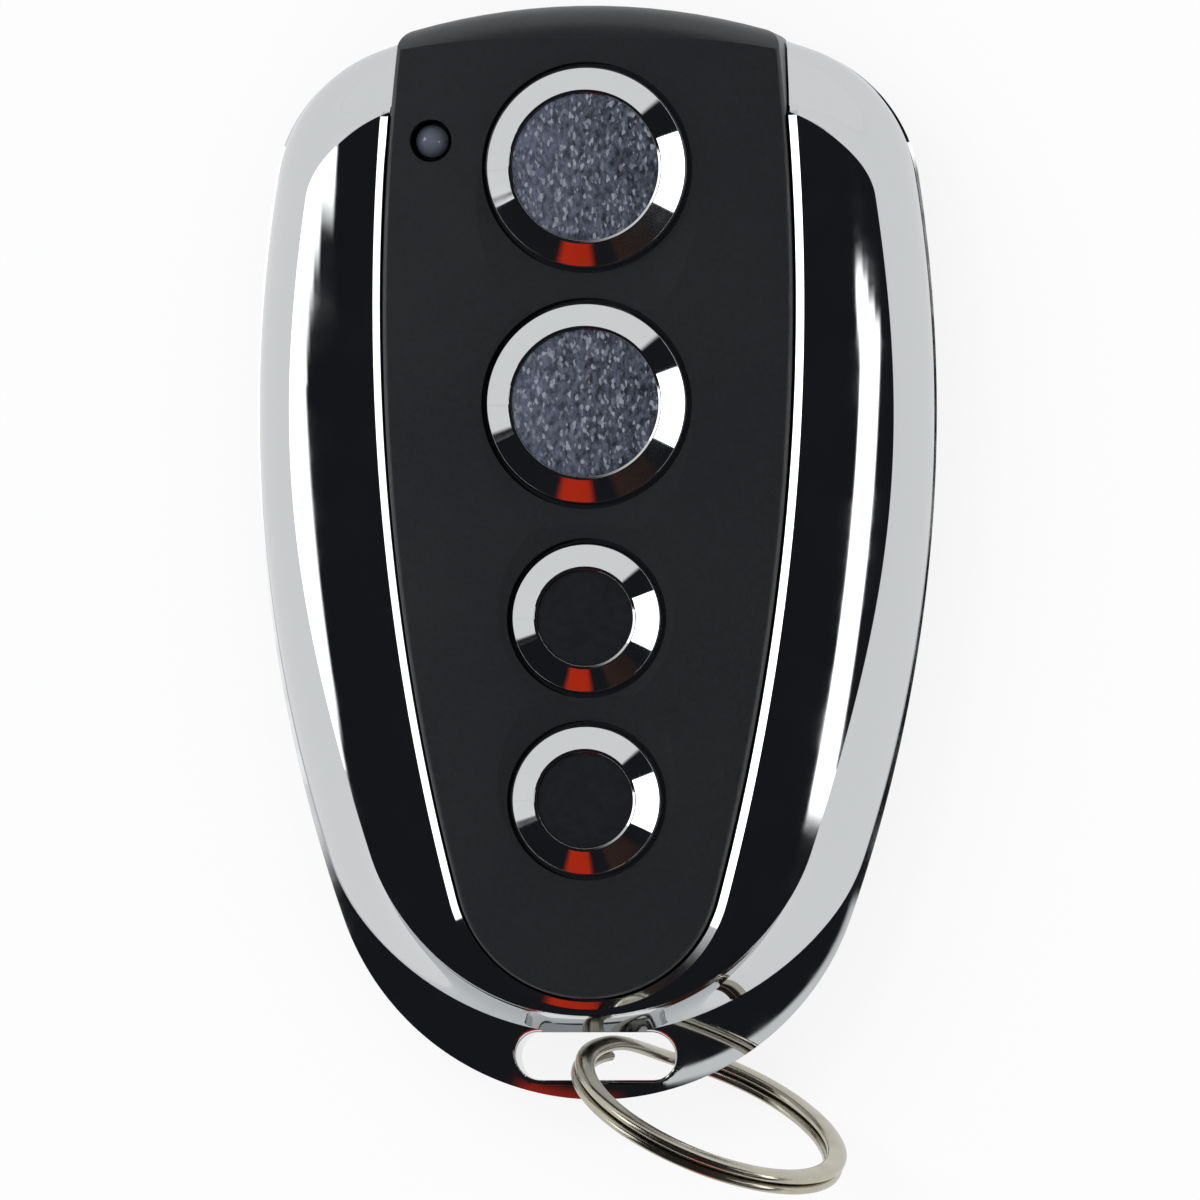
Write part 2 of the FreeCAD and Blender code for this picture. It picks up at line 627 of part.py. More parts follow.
def make_button(y, radius):
    """A plated cap: straight rim, conical bevel, thin lip, recess, flange below and stem."""
    flange_top = PANEL_ROOF_Z - BUTTON_PLAY
    flange_low = flange_top - BUTTON_FLANGE_THICKNESS
    lip = radius - BEVEL_WIDTH
    recess_z = BUTTON_TOP_Z - INLAY_RECESS - INLAY_THICKNESS
    roof_z = recess_z - BUTTON_WALL
    cap = turned([(0, recess_z), (lip - LIP_WIDTH, recess_z),
                  (lip - LIP_WIDTH, BUTTON_TOP_Z - LIP_BEVEL), (lip - LIP_FLAT, BUTTON_TOP_Z),
                  (lip, BUTTON_TOP_Z), (radius - BUTTON_RIM_BREAK, BUTTON_RIM_Z + BUTTON_RIM_BREAK),
                  (radius, BUTTON_RIM_Z - BUTTON_RIM_BREAK),
                  (radius, flange_top), (radius + BUTTON_FLANGE, flange_top),
                  (radius + BUTTON_FLANGE, flange_low), (radius - BUTTON_WALL, flange_low),
                  (radius - BUTTON_WALL, roof_z), (STEM_RADIUS, roof_z),
                  (STEM_RADIUS, PLUNGER_TOP), (0, PLUNGER_TOP)], 0, y)
    face = lip - LIP_WIDTH - INLAY_GAP
    crown_z = recess_z + INLAY_THICKNESS
    ball = (face ** 2 + INLAY_CROWN ** 2) / (2 * INLAY_CROWN)
    disc = rod(face, recess_z, crown_z, 0, y).common(Part.makeSphere(ball, V(0, y, crown_z - ball)))
    return cap, single(disc)


def upright_edges(solid):
    """The vertical edges of a straight block."""
    return [edge for edge in solid.Edges if abs(edge.tangentAt(edge.FirstParameter).z) > 0.99]


def make_switch(y):
    """A surface-mounted tactile switch: base with pocket, snap dome, plunger, plate and legs."""
    base_top = BOARD_TOP + SWITCH_BASE_HEIGHT
    floor = base_top - SWITCH_POCKET_DEPTH
    plate_top = base_top + SWITCH_PLATE
    base = block(SWITCH_SIZE, SWITCH_SIZE, BOARD_TOP, base_top, 0, y)
    base = base.makeChamfer(SWITCH_CORNER, upright_edges(base))
    base = base.cut(rod(SWITCH_POCKET_RADIUS, floor, base_top + OVERSHOOT, 0, y))
    plate_side = SWITCH_SIZE - 2 * PLATE_MARGIN
    plate = block(plate_side, plate_side, base_top, plate_top, 0, y)
    plate = plate.makeChamfer(PLATE_CORNER, upright_edges(plate))
    plate = plate.cut(rod(PLUNGER_RADIUS + PLUNGER_GAP, BOARD_TOP, plate_top + OVERSHOOT, 0, y))
    collar_top = base_top - PLUNGER_PLAY
    collar_low = collar_top - PLUNGER_COLLAR_HEIGHT
    plunger = turned([(0, collar_low), (PLUNGER_COLLAR, collar_low), (PLUNGER_COLLAR, collar_top),
                      (PLUNGER_RADIUS, collar_top), (PLUNGER_RADIUS, PLUNGER_TOP),
                      (0, PLUNGER_TOP)], 0, y)
    rise = collar_low - floor - DOME_GAP
    ball = (DOME_RADIUS ** 2 + rise ** 2) / (2 * rise)
    hub = V(0, y, floor + rise - ball)
    dome = Part.makeSphere(ball, hub).cut(Part.makeSphere(ball - DOME_THICKNESS, hub))
    dome = dome.common(rod(DOME_RADIUS, floor, base_top, 0, y))
    legs = []
    side = SWITCH_SIZE / 2
    for sign in (-1, 1):
        for offset in (-(LEG_SPREAD + LEG_WIDTH) / 2, (LEG_SPREAD + LEG_WIDTH) / 2):
            upright = block(LEG_SHEET, LEG_WIDTH, BOARD_TOP, BOARD_TOP + LEG_HEIGHT,
                            sign * (side + LEG_SHEET / 2), y + offset)
            foot = block(LEG_FOOT, LEG_WIDTH, BOARD_TOP, BOARD_TOP + LEG_SHEET,
                         sign * (side + LEG_FOOT / 2), y + offset)
            legs.append(single(upright.fuse(foot)))
    return {"base": single(base), "plate": single(plate), "plunger": plunger,
            "dome": single(dome), "legs": group(legs)}


def make_cell():
    """A coin cell: a wide can with a stepped, narrower cap on the side of the board."""
    low = REAR_FLOOR + CLIP_LIFT + CLIP_SHEET
    high = low + CELL_HEIGHT
    cap = CELL_RADIUS - CELL_RIM
    return turned([(0, low), (CELL_RADIUS - CELL_EDGE, low), (CELL_RADIUS, low + CELL_EDGE),
                   (CELL_RADIUS, high - CELL_STEP), (cap, high - CELL_STEP),
                   (cap - CELL_EDGE, high), (0, high)], 0, CELL_Y)


def make_clip():
    """The spring clip that straps the cell to the board from behind."""
    low = REAR_FLOOR + CLIP_LIFT
    inner = CELL_RADIUS + CLIP_GAP
    outer = inner + CLIP_SHEET
    strap = block(2 * outer, CLIP_WIDTH, low, low + CLIP_SHEET, 0, CELL_Y)
    for sign in (-1, 1):
        strap = strap.fuse(block(CLIP_SHEET, CLIP_WIDTH, low, BOARD_Z,
                                 sign * (inner + CLIP_SHEET / 2), CELL_Y))
        strap = strap.fuse(block(CLIP_FOOT, CLIP_WIDTH, BOARD_Z - CLIP_SHEET, BOARD_Z,
                                 sign * (inner + CLIP_FOOT / 2), CELL_Y))
    return single(strap)


def make_lamp():
    """A small round lamp on two leads, with a collar at its foot and a domed tip."""
    tip = crown_height(LAMP_X, LAMP_Y) - LAMP_RECESS
    foot = tip - LAMP_LENGTH
    neck = tip - LAMP_TIP_HEIGHT
    body = rod(LAMP_RADIUS, foot, neck, LAMP_X, LAMP_Y)
    ball = (LAMP_RADIUS ** 2 + LAMP_TIP_HEIGHT ** 2) / (2 * LAMP_TIP_HEIGHT)
    dome = Part.makeSphere(ball, V(LAMP_X, LAMP_Y, tip - ball))
    dome = dome.common(rod(LAMP_RADIUS, neck, tip, LAMP_X, LAMP_Y))
    collar = rod(LAMP_RADIUS + LAMP_COLLAR, foot, foot + LAMP_COLLAR_HEIGHT, LAMP_X, LAMP_Y)
    leads = [block(LAMP_LEAD, LAMP_LEAD, BOARD_TOP, foot, LAMP_X + sign * LAMP_LEAD_PITCH / 2,
                   LAMP_Y) for sign in (-1, 1)]
    return single(body.fuse(dome).fuse(collar)), group(leads)


def make_ring():
    """A split ring: two flat turns of wire with one short crossover between them."""
    middle = RING_OUTER_RADIUS - RING_WIRE_WIDTH / 2
    pitch = RING_WIRE_HEIGHT + RING_TURN_GAP
    low = -pitch / 2
    flat_sweep = 360.0 - RING_CROSSOVER

    def section(z):
        corner = RING_WIRE_BREAK
        half_wide = RING_WIRE_WIDTH / 2
        half_high = RING_WIRE_HEIGHT / 2
        points = [V(middle - half_wide, 0, z - half_high + corner),
                  V(middle - half_wide + corner, 0, z - half_high),
                  V(middle + half_wide - corner, 0, z - half_high),
                  V(middle + half_wide, 0, z - half_high + corner),
                  V(middle + half_wide, 0, z + half_high - corner),
                  V(middle + half_wide - corner, 0, z + half_high),
                  V(middle - half_wide + corner, 0, z + half_high),
                  V(middle - half_wide, 0, z + half_high - corner)]
        return Part.makePolygon(points + [points[0]])

    axis = V(0, 0, 1)
    first = Part.Face(section(low)).revolve(V(0, 0, 0), axis, flat_sweep)
    second = Part.Face(section(low + pitch)).revolve(V(0, 0, 0), axis, flat_sweep)
    climb = Part.makeHelix(pitch * 360.0 / RING_CROSSOVER, pitch, middle)
    climb.translate(V(0, 0, low))
    sweep = Part.BRepOffsetAPI.MakePipeShell(Part.Wire(climb.Edges))
    sweep.setBiNormalMode(axis)
    sweep.add(section(low))
    sweep.build()
    sweep.makeSolid()
    ramp = sweep.shape()
    ramp.rotate(V(0, 0, 0), axis, flat_sweep)
    ring = single(first.fuse(ramp).fuse(second))
    ring.rotate(V(0, 0, 0), axis, RING_ROLL)
    ring.rotate(V(0, 0, 0), V(1, 0, 0), RING_LEAN - 90.0)
    ring.rotate(V(0, 0, 0), axis, -RING_YAW)
    ring.translate(V(RING_CENTRE_X, RING_CENTRE_Y, 0))
    ring.translate(V(0, 0, -ring.optimalBoundingBox(False, False).ZMin))
    return ring


def chip(size, spot):
    """A small block soldered at a spot on the board."""
    return block(size[0], size[1], BOARD_TOP, BOARD_TOP + size[2], spot[0], spot[1])


def pins(size, spot, pitch, rows):
    """Cranked pins down the long sides of a chip, one solid each."""
    made = []
    for sign, count in rows:
        for index in range(count):
            y = spot[1] + (index - (count - 1) / 2) * pitch
            side = spot[0] + sign * size[0] / 2
            upright = block(PIN_SHEET, PIN_WIDTH, BOARD_TOP, BOARD_TOP + PIN_RISE,
                            side + sign * PIN_SHEET / 2, y)
            foot = block(PIN_REACH, PIN_WIDTH, BOARD_TOP, BOARD_TOP + PIN_SHEET,
                         side + sign * PIN_REACH / 2, y)
            made.append(single(upright.fuse(foot)))
    return group(made)


def make_trimmer():
    """A trimmer capacitor with a screwdriver slot in its rotor."""
    x, y = TRIMMER_SPOT
    top = BOARD_TOP + TRIMMER_HEIGHT
    side = 2 * TRIMMER_RADIUS
    foot = block(side, side, BOARD_TOP, BOARD_TOP + TRIMMER_FOOT, x, y)
    rotor = rod(ROTOR_RADIUS, BOARD_TOP, top, x, y)
    slot = block(side, DRIVE_WIDTH, top - ROTOR_SLOT, top + OVERSHOOT, x, y)
    return single(foot.fuse(rotor).cut(slot))


def make_antenna():
    """The flat copper loop round the board's far half."""
    outer = board_outline().inset(ANTENNA_INSET)
    inner = outer.inset(ANTENNA_WIDTH)
    top = BOARD_TOP + ANTENNA_THICKNESS
    band = outer.solid(BOARD_TOP, top).cut(inner.solid(BOARD_Z, top + OVERSHOOT))
    return single(above_y(band, ANTENNA_END_Y))


parts["chrome_frame"] = make_frame()
parts["front_panel"] = make_panel()
parts["rear_cover"] = make_cover()
parts["cover_screws"] = make_screws()
parts["circuit_board"] = make_board()
for number, (button_y, button_radius) in enumerate(zip(BUTTON_YS, BUTTON_RADII), start=1):
    button_cap, button_inlay = make_button(button_y, button_radius)
    parts["button_%d_cap" % number] = button_cap
    parts["button_%d_inlay" % number] = button_inlay
    for piece, piece_shape in make_switch(button_y).items():
        parts["switch_%d_%s" % (number, piece)] = piece_shape
parts["status_lamp"], parts["lamp_leads"] = make_lamp()
parts["encoder_chip"] = chip(ENCODER_SIZE, ENCODER_SPOT)
parts["encoder_pins"] = pins(ENCODER_SIZE, ENCODER_SPOT, ENCODER_PITCH, ((-1, 4), (1, 4)))
parts["saw_resonator"] = chip(RESONATOR_SIZE, RESONATOR_SPOT)
parts["rf_transistor"] = chip(TRANSISTOR_SIZE, TRANSISTOR_SPOT)
parts["transistor_pins"] = pins(TRANSISTOR_SIZE, TRANSISTOR_SPOT, TRANSISTOR_PITCH,
                                ((-1, 1), (1, 2)))
parts["trimmer_capacitor"] = make_trimmer()
parts["chip_resistors"] = group([chip(CHIP_SIZE + (RESISTOR_HEIGHT,), spot)
                                 for spot in RESISTOR_SPOTS])
parts["chip_capacitors"] = group([chip(CHIP_SIZE + (CAPACITOR_HEIGHT,), spot)
                                  for spot in CAPACITOR_SPOTS])
parts["loop_antenna"] = make_antenna()
parts["coin_cell"] = make_cell()
parts["battery_clip"] = make_clip()
parts["battery_pad"] = rod(PAD_RADIUS, BOARD_Z - PAD_THICKNESS, BOARD_Z, 0, CELL_Y)
parts["key_ring"] = make_ring()

os.makedirs("parts", exist_ok=True)
for name, shape in parts.items():
    if not shape.isValid():
        print("not valid:", name)
    shape.exportStep("parts/" + name + ".step")
print(len(parts), "nodes,", sum(len(shape.Solids) for shape in parts.values()), "solids")
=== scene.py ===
import math

import bpy
from mathutils import Matrix, Vector


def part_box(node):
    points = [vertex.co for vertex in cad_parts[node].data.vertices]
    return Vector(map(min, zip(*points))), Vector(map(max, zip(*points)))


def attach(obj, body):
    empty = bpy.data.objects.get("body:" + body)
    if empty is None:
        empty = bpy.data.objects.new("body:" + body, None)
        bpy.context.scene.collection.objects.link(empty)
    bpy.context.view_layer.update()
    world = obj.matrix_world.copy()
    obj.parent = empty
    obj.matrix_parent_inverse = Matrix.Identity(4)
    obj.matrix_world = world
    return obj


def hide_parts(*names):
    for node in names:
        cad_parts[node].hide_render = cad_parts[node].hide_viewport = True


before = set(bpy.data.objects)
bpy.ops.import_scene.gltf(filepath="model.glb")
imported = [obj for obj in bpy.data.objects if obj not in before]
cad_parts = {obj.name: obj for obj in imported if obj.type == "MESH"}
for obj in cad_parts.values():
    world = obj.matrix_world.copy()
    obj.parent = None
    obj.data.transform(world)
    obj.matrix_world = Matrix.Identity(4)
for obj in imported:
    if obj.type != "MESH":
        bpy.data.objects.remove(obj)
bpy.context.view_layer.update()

# The camera looks almost straight down on the remote, a little from its right and from its ring, and from
# so far away that there is hardly any perspective. A pixel of the picture is 0.0587 mm at the height of the
# widest outline. All lengths in this script are in millimetres, and Blender's are in metres.
METRE = 1000
PICTURE_PIXELS = 1200
PIXEL = 0.0587
PICTURE = PICTURE_PIXELS * PIXEL
SENSOR = 36.0
CAMERA_AWAY = 1500.0
LOOK_AT = Vector((0.17, -2.68, 5.6))
LOOK_FROM = Vector((0.087, -0.015, 0.996)).normalized()
bpy.ops.object.camera_add()
camera = bpy.context.object
camera.location = (LOOK_AT + LOOK_FROM * CAMERA_AWAY) / METRE
across = Vector((0, 1, 0)).cross(LOOK_FROM).normalized()
camera.rotation_euler = Matrix((across, LOOK_FROM.cross(across), LOOK_FROM)).transposed().to_euler()
camera.data.sensor_width = SENSOR
camera.data.lens = SENSOR * CAMERA_AWAY / PICTURE
camera.data.clip_start = 0.01
camera.data.clip_end = 50.0
bpy.context.scene.camera = camera
bpy.context.scene.view_settings.view_transform = "Standard"


# The studio: a white table, even white light and one soft lamp, and the dark room with pale walls and white
# lamps that the plating mirrors. That room is laid out by direction, so that each facet shows what it shows
# in the photograph. Turns go from the right side over the far end to the left, heights up from the horizon.
def linear(hex_colour):
    """An sRGB hex colour as linear red, green, blue and alpha."""
    parts = [int(hex_colour[i:i + 2], 16) / 255 for i in (1, 3, 5)]
    return [p / 12.92 if p <= 0.04045 else ((p + 0.055) / 1.055) ** 2.4 for p in parts] + [1.0]


def add(tree, kind, settings=None, **sockets):
    """Adds a node, sets its own settings, and gives each named input a value or a link."""
    node = tree.nodes.new(kind)
    for key, value in (settings or {}).items():
        setattr(node, key, value)
    for key, value in sockets.items():
        name = key.replace("_", " ")
        if key.startswith("in") and key[2:].isdigit():
            name = int(key[2:])
        socket = node.inputs[name]
        if isinstance(value, bpy.types.NodeSocket):
            tree.links.new(value, socket)
        else:
            socket.default_value = value
    return node


def new_material(name):
    """An empty node material and its tree."""
    material = bpy.data.materials.new(name)
    material.use_nodes = True
    tree = material.node_tree
    tree.nodes.clear()
    return material, tree


studio = bpy.data.worlds.new("studio")
studio.use_nodes = True
bpy.context.scene.world = studio
tree = studio.node_tree
tree.nodes.clear()
direction = add(tree, "ShaderNodeTexCoord").outputs["Generated"]
direction = add(tree, "ShaderNodeSeparateXYZ", in0=direction)
height = add(tree, "ShaderNodeMath", {"operation": "ARCSINE"}, in0=direction.outputs[2])
height = add(tree, "ShaderNodeMath", {"operation": "MULTIPLY"}, in0=height.outputs[0], in1=math.degrees(1))
turn = add(tree, "ShaderNodeMath", {"operation": "ARCTAN2"}, in0=direction.outputs[1],
           in1=direction.outputs[0])
turn = add(tree, "ShaderNodeMath", {"operation": "MULTIPLY"}, in0=turn.outputs[0], in1=math.degrees(1))


def between(value, low, high, blur):
    """A factor that is 1 where a value in degrees lies between two others, with soft ends."""
    rise = add(tree, "ShaderNodeMapRange", {"interpolation_type": "SMOOTHSTEP"}, Value=value,
               From_Min=low - blur, From_Max=low + blur)
    fall = add(tree, "ShaderNodeMapRange", {"interpolation_type": "SMOOTHSTEP"}, Value=value,
               From_Min=high - blur, From_Max=high + blur, To_Min=1.0, To_Max=0.0)
    both = add(tree, "ShaderNodeMath", {"operation": "MULTIPLY"}, in0=rise.outputs[0], in1=fall.outputs[0])
    return both.outputs[0]


def lit(below, colour, strength, blur, turns, heights):
    """Lays a patch of light over what was there."""
    share = add(tree, "ShaderNodeMath", {"operation": "MULTIPLY"},
                in0=between(turn.outputs[0], *turns, blur),
                in1=between(height.outputs[0], *heights, blur))
    shade = [value * strength for value in linear(colour)[:3]] + [1.0]
    patch = add(tree, "ShaderNodeMix", {"data_type": "RGBA"}, in0=share.outputs[0], in6=below, in7=shade)
    return patch.outputs[2]


# Each group of patches has a colour, a strength and a blur, and then the turns and heights of each patch
DARK_ROOM, PALE_WALL, WHITE = "#1D1E21", "#EBEBEA", "#FFFFFF"
PATCHES = (
    # Pale walls: low all round, and higher at the far end and on the left
    (PALE_WALL, 1.2, 1.0, ((-181, 48), (-30, 7)), ((20, 181), (-30, 13))),
    (PALE_WALL, 1.2, 2.0, ((48, 181), (-30, 26))),
    (PALE_WALL, 1.2, 1.5, ((-181, -165), (-30, 21))),
    # A pale band, an orange and a brown patch past the nose
    ("#E2E3E2", 1.1, 0.5, ((-80, -20), (26.4, 29.5))),
    ("#C8321A", 1.0, 3.0, ((-112, -91), (-12, 24))),
    ("#4A342A", 0.8, 3.0, ((-75, -45), (-12, 24))),
    # White lamps on the left: the bead's line, then the facet's, which climbs round the far corner
    (WHITE, 3.0, 0.4, ((160, 181), (16.6, 18.9)), ((-181, -160), (16.6, 18.9))),
    (WHITE, 3.0, 0.8, ((178.4, 181), (24, 32.6)), ((177.4, 178.8), (24, 33.8)),
     ((176.4, 177.8), (24, 35.6)), ((175.2, 176.8), (24, 38)), ((167, 175.6), (24, 43.5)),
     ((152, 167.6), (24, 49)), ((-181, -172), (24, 32)), ((-172.6, -170), (25, 31)),
     ((-170.6, -168.2), (26, 30))),
    # White lamps on the right: the caps' bevels and the bead, then the facet's stripe with its far point
    (WHITE, 4.0, 0.5, ((-28, 25), (18, 28.2))),
    (WHITE, 4.0, 0.6, ((-13, 1.4), (41, 48)), ((0.8, 2.0), (43, 48.5)), ((1.6, 2.8), (45.5, 49.5)),
     ((2.4, 3.4), (47.5, 50))),
)
mirrored_room = add(tree, "ShaderNodeRGB").outputs[0]
mirrored_room.default_value = linear(DARK_ROOM)
for colour, strength, blur, *patches in PATCHES:
    for turns, heights in patches:
        mirrored_room = lit(mirrored_room, colour, strength, blur, turns, heights)

EVEN_LIGHT = 0.72
path = add(tree, "ShaderNodeLightPath")
plain = add(tree, "ShaderNodeBackground", Color=linear(WHITE), Strength=EVEN_LIGHT)
mirror = add(tree, "ShaderNodeBackground", Color=mirrored_room, Strength=1.0)
backdrop = add(tree, "ShaderNodeBackground", Color=linear(WHITE), Strength=1.0)
seen = add(tree, "ShaderNodeMixShader", in0=path.outputs["Is Glossy Ray"], in1=plain.outputs[0],
           in2=mirror.outputs[0])
behind = add(tree, "ShaderNodeMath", {"operation": "MAXIMUM"}, in0=path.outputs["Is Camera Ray"],
             in1=path.outputs["Is Transmission Ray"])
seen = add(tree, "ShaderNodeMixShader", in0=behind.outputs[0], in1=seen.outputs[0], in2=backdrop.outputs[0])
add(tree, "ShaderNodeOutputWorld", in0=seen.outputs[0])

# The table is matt white paint. To the eye and in the plating most of its white is a glow, so that it stays
# white and still shows the shadow, and from below it is clear
TABLE_SIZE, TABLE_DROP, TABLE_GLOW = 8000.0, 0.03, 0.85
bpy.ops.mesh.primitive_plane_add(size=TABLE_SIZE / METRE, location=(0, 0, -TABLE_DROP / METRE))
table = bpy.context.object
table.name = "table"
white_table, tree = new_material("white_table")
path = add(tree, "ShaderNodeLightPath")
matt = add(tree, "ShaderNodeBsdfDiffuse", Color=linear("#F4F5F6"))
glow = add(tree, "ShaderNodeEmission", Color=linear(WHITE), Strength=1.0)
seen = add(tree, "ShaderNodeMath", {"operation": "MAXIMUM"}, in0=path.outputs["Is Camera Ray"],
           in1=path.outputs["Is Glossy Ray"])
seen = add(tree, "ShaderNodeMath", {"operation": "MAXIMUM"}, in0=seen.outputs[0],
           in1=path.outputs["Is Transmission Ray"])
seen = add(tree, "ShaderNodeMath", {"operation": "MULTIPLY"}, in0=seen.outputs[0], in1=TABLE_GLOW)
surface = add(tree, "ShaderNodeMixShader", in0=seen.outputs[0], in1=matt.outputs[0], in2=glow.outputs[0])
under = add(tree, "ShaderNodeBsdfTransparent")
surface = add(tree, "ShaderNodeMixShader", in0=add(tree, "ShaderNodeNewGeometry").outputs["Backfacing"],
              in1=surface.outputs[0], in2=under.outputs[0])
add(tree, "ShaderNodeOutputMaterial", in0=surface.outputs[0])
table.data.materials.append(white_table)

# The soft lamp gives the shapes their shading and isn't mirrored
LAMP_PLACE, LAMP_AWAY, LAMP_SIZE, LAMP_LEVEL = (-350, 300, 650), 800, 500, 0.33
bpy.ops.object.light_add(type="AREA", location=Vector(LAMP_PLACE) / METRE)
softbox = bpy.context.object
softbox.name = "softbox"
softbox.data.size = LAMP_SIZE / METRE
softbox.data.energy = LAMP_LEVEL * math.pi ** 2 * (LAMP_AWAY / METRE) ** 2
softbox.rotation_euler = softbox.location.to_track_quat("Z", "Y").to_euler()
softbox.visible_glossy = False
softbox.visible_camera = False


# The metal frame: a zinc casting, polished and chrome plated, in the shape of a U round the black tongue.
# A steep flank rises to a crease and a crescent facet climbs from there to a thin bead; round the nose the
# flank stands on a flatter apron with the slot for the key ring.
def oval(half_width, widest_y, nose_y, top_y, nose_radius, corner_radius, top_radius,
         counts=(34, 90, 34, 22)):
    """Points round an egg-shaped outline of six tangent arcs, from the nose over +X and back."""
    nose = Vector((0, nose_y + nose_radius))
    rise = widest_y - nose.y
    side_radius = (half_width ** 2 + rise ** 2 - nose_radius ** 2) / (2 * (half_width - nose_radius))
    side = Vector((half_width - side_radius, widest_y))
    top = Vector((0, top_y - top_radius))
    gap = top - side
    reach, span = side_radius - corner_radius, top_radius - corner_radius
    along = (reach ** 2 - span ** 2 + gap.length ** 2) / (2 * gap.length)
    across = math.sqrt(reach ** 2 - along ** 2)
    foot = side + gap.normalized() * along
    sideways = Vector((-gap.y, gap.x)).normalized() * across
    corner = max(foot + sideways, foot - sideways, key=lambda point: point.x)

    def heading(start, end):
        return math.atan2(end.y - start.y, end.x - start.x)

    turns = [-math.pi / 2, heading(side, nose), heading(side, corner), heading(top, corner), math.pi / 2]
    arcs = [(nose, nose_radius), (side, side_radius), (corner, corner_radius), (top, top_radius)]
    half = []
    for (centre, radius), start, end, count in zip(arcs, turns, turns[1:], counts):
        for step in range(count):
            angle = start + (end - start) * step / count
            half.append((centre.x + radius * math.cos(angle), centre.y + radius * math.sin(angle)))
    half.append((0.0, top_y))
    return half + [(-x, y) for x, y in reversed(half)]


SMALLEST_CORNER = 0.3


def inset(outline, distance, nose_y=None):
    """The values of an outline moved inwards, or outwards if the distance is negative."""
    half_width, widest_y, nose, top_y, nose_radius, corner_radius, top_radius = outline
    nose = nose + distance if nose_y is None else nose_y
    return (half_width - distance, widest_y, nose, top_y - distance, nose_radius - distance,
            max(corner_radius - distance, SMALLEST_CORNER), top_radius - distance)


def ring_at(outline, z):
    return [Vector((x, y, z)) for x, y in outline]


def on_curve(points, shares, t):
    """The point a share t of the way along a smooth curve through some points."""
    spot = Vector((0, 0, 0))
    for point, share in zip(points, shares):
        spot += point * math.prod((t - other) / (share - other) for other in shares if other != share)
    return spot


def skin(name, rings, capped=False):
    """A grid whose rows lie on the rings, joined where they meet, with its normals outwards."""
    bpy.ops.object.select_all(action="DESELECT")
    bpy.ops.mesh.primitive_grid_add(x_subdivisions=len(rings[0]) - 1, y_subdivisions=len(rings) - 1)
    piece = bpy.context.object
    piece.name = name
    piece.data.name = name
    for vertex, point in zip(piece.data.vertices, [point for ring in rings for point in ring]):
        vertex.co = point
    bpy.ops.object.mode_set(mode="EDIT")
    bpy.ops.mesh.select_all(action="SELECT")
    bpy.ops.mesh.remove_doubles(threshold=0.0005)
    if capped:
        bpy.ops.mesh.fill_holes(sides=0)
    bpy.ops.mesh.select_all(action="SELECT")
    bpy.ops.mesh.normals_make_consistent(inside=False)
    bpy.ops.object.mode_set(mode="OBJECT")
    return piece


def pick(*pieces):
    """Selects these pieces alone, and makes the first of them the active one."""
    bpy.ops.object.select_all(action="DESELECT")
    for piece in pieces:
        piece.select_set(True)
    bpy.context.view_layer.objects.active = pieces[0]


def combine(piece, other, operation="DIFFERENCE"):
    """Joins, trims or cuts a piece with another form, which is used up."""
    pick(piece)
    modifier = piece.modifiers.new("form", "BOOLEAN")
    modifier.operation = operation
    modifier.solver = "EXACT"
    modifier.object = other
    bpy.ops.object.modifier_apply(modifier=modifier.name)
    bpy.data.objects.remove(other)


def finish_piece(piece, material, body, slot, *nodes, sharp):
    """Millimetres to metres, smooth shading up to an angle, material and body; the slot is not used."""
    piece.data.transform(Matrix.Scale(1 / METRE, 4))
    pick(piece)
    bpy.ops.object.shade_smooth_by_angle(angle=math.radians(sharp))
    piece.data.materials.clear()
    piece.data.materials.append(material)
    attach(piece, body)
    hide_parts(*nodes)


# Polished chrome: a hard blue-white mirror, with faint handling marks and a slight roll left by polishing
SMEAR_SIZE, ROLL_SIZE, ROLL_DEPTH = 3.85, 7.7, 0.02
chrome, tree = new_material("polished_chrome_plate")
place = add(tree, "ShaderNodeTexCoord").outputs["Object"]
smear = add(tree, "ShaderNodeTexNoise", Vector=place, Scale=METRE / SMEAR_SIZE, Detail=4.0, Roughness=0.6)
gloss = add(tree, "ShaderNodeMapRange", Value=smear.outputs[0], From_Min=0.42, From_Max=0.75, To_Min=0.025,
            To_Max=0.07)
roll = add(tree, "ShaderNodeTexNoise", Vector=place, Scale=METRE / ROLL_SIZE, Detail=1.0)
bump = add(tree, "ShaderNodeBump", Height=roll.outputs[0], Strength=0.35, Distance=ROLL_DEPTH / METRE)
surface = add(tree, "ShaderNodeBsdfPrincipled", Base_Color=linear("#C9CBCD"), Metallic=1.0,
              Roughness=gloss.outputs[0], Normal=bump.outputs[0])
add(tree, "ShaderNodeOutputMaterial", in0=surface.outputs[0])

# Each outline has the seven values that oval takes. The flank's four lines go up from its foot to its top
OUTLINE = (20.0, 8.4, -32.0, 31.75, 15.8, 9.2, 38.0)
FLANK_FOOT = (19.9, 8.4, -29.4, 31.65, 16.6, 9.2, 38.0)
FLANK_WAIST = (19.35, 9.3, -28.3, 31.1, 15.6, 8.55, 38.0)
CREASE = (17.6, 10.5, -27.35, 28.3, 13.8, 6.2, 38.0)
FLANK_TOP = (15.5, 12.0, -27.1, 27.85, 13.4, 4.5, 38.0)
BROW = (12.67, 14.5, -26.72, 27.8, 8.42, 2.2, 38.0)
TONGUE = (12.05, 14.5, -26.1, 32.05, 7.8, 1.2, 38.0)
RIM_Z, WIDEST_Z, WAIST_Z, CREASE_Z, FLANK_TOP_Z, BROW_Z = 2.6, 5.6, 7.5, 9.8, 11.8, 11.6
FLANK = ((FLANK_FOOT, WIDEST_Z), (FLANK_WAIST, WAIST_Z), (CREASE, CREASE_Z), (FLANK_TOP, FLANK_TOP_Z))
FLANK_SHARES, FLANK_STEPS = (0.0, 0.28, 0.65, 1.0), 48
